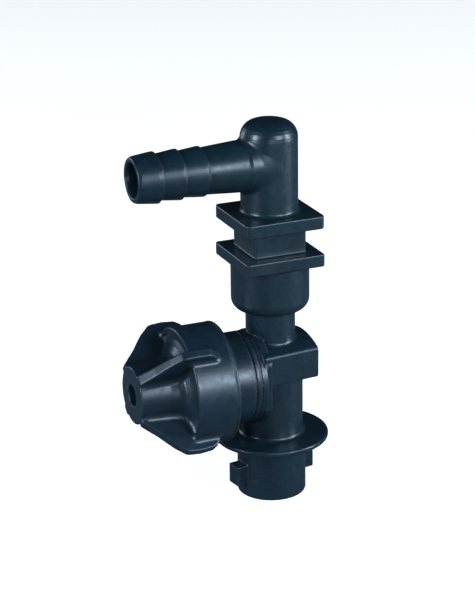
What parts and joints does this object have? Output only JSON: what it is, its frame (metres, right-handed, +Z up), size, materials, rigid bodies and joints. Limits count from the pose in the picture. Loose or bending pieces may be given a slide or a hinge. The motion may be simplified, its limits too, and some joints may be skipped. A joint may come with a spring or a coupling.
{
  "type": "sprayer nozzle body",
  "caption": "Dry-boom sprayer nozzle body with a hose-barb elbow, square clamp collar, side diaphragm check valve with winged end cap, and bayonet outlet.",
  "frame": {"origin": "centre of the square clamp neck, on the body's vertical axis", "axes": "+Z up along the body's axis, -X towards the hose barb and the end cap, +Y to the side"},
  "size_m": [0.0589, 0.0346, 0.1107],
  "materials": {
    "moulded_body": "satin moulded nylon",
    "moulded_cap": "satin moulded nylon",
    "seal_rubber": "matt moulded elastomer",
    "acetal": "smooth white acetal",
    "spring_steel": "drawn stainless wire"
  },
  "bodies": {
    "main_body": {"inlet_elbow": "moulded_body", "valve_body": "moulded_body", "neck_o_ring": "seal_rubber", "diaphragm": "seal_rubber"},
    "cap_carrier": {"slip_ring": "acetal", "closing_spring": "spring_steel"},
    "cap": {"end_cap": "moulded_cap"},
    "poppet": {"spring_seat": "acetal"}
  },
  "joints": [
    {"name": "cap_withdraw", "type": "slide", "parent": "main_body", "child": "cap_carrier", "axis": [-1, 0, 0], "range_m": [0, 0.0063]},
    {"name": "cap_turn", "type": "hinge", "parent": "cap_carrier", "child": "cap", "pos_m": [-0.03, 0, -0.04105], "axis": [-1, 0, 0], "range_deg": [0, 900]},
    {"name": "check_valve_lift", "type": "slide", "parent": "cap_carrier", "child": "poppet", "axis": [-1, 0, 0], "range_m": [0, 0.0024], "stiffness_N_per_m": 3500, "springref_m": -0.0045, "deforming": ["closing_spring", "diaphragm"]}
  ],
  "couplings": [
    {"joint": "cap_withdraw", "follows": "cap_turn", "m_per_rad": 0.00039789}
  ]
}
